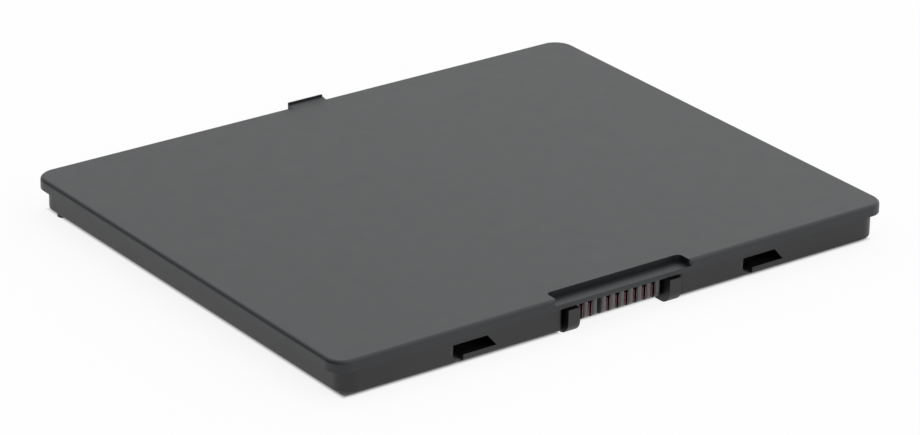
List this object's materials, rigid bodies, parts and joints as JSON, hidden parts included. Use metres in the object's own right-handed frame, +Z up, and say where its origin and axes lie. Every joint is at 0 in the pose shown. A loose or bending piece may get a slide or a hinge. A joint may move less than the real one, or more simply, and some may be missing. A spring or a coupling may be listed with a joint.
{
  "type": "tablet battery",
  "caption": "Flat rectangular removable battery pack for a tablet, with a slotted edge connector, two latch slots and a finger lip.",
  "frame": {"origin": "centre of the pack's box seen from above, on the plane that its lugs and feet stand on", "axes": "+X along the connector side to the right as seen from the connector side, +Y away from the connector side, +Z up out of the cover's outer face"},
  "size_m": [0.1524, 0.1242, 0.01],
  "materials": {
    "shell_plastic": "satin",
    "connector_plastic": "gloss",
    "contact_gold": "polished",
    "board_laminate": "satin",
    "insulating_sheet": "satin",
    "chip_resin": "matte",
    "component_ceramic": "satin",
    "nickel_strip": "satin",
    "pouch_foil": "satin",
    "aluminium_tab": "satin",
    "amber_film": "gloss",
    "cell_tape": "satin",
    "foam": "matte"
  },
  "bodies": {
    "root": {"top_cover": "shell_plastic", "lower_case": "shell_plastic", "connector_housing": "connector_plastic", "contact_1": "contact_gold", "contact_2": "contact_gold", "contact_3": "contact_gold", "contact_4": "contact_gold", "contact_5": "contact_gold", "contact_6": "contact_gold", "contact_7": "contact_gold", "contact_8": "contact_gold", "circuit_board": "board_laminate", "board_insulator": "insulating_sheet", "gauge_chip": "chip_resin", "protector_chip": "chip_resin", "charge_transistor": "chip_resin", "discharge_transistor": "chip_resin", "chip_fuse": "component_ceramic", "sense_resistor": "component_ceramic", "thermistor": "component_ceramic", "chip_capacitors": "component_ceramic", "positive_strip": "nickel_strip", "series_strip": "nickel_strip", "negative_strip": "nickel_strip", "left_cell": "pouch_foil", "right_cell": "pouch_foil", "left_cell_plus_tab": "aluminium_tab", "left_cell_minus_tab": "nickel_strip", "right_cell_plus_tab": "aluminium_tab", "right_cell_minus_tab": "nickel_strip", "left_end_film": "amber_film", "right_end_film": "amber_film", "left_cell_tape": "cell_tape", "right_cell_tape": "cell_tape", "left_foam_pad": "foam", "right_foam_pad": "foam"}
  },
  "joints": []
}
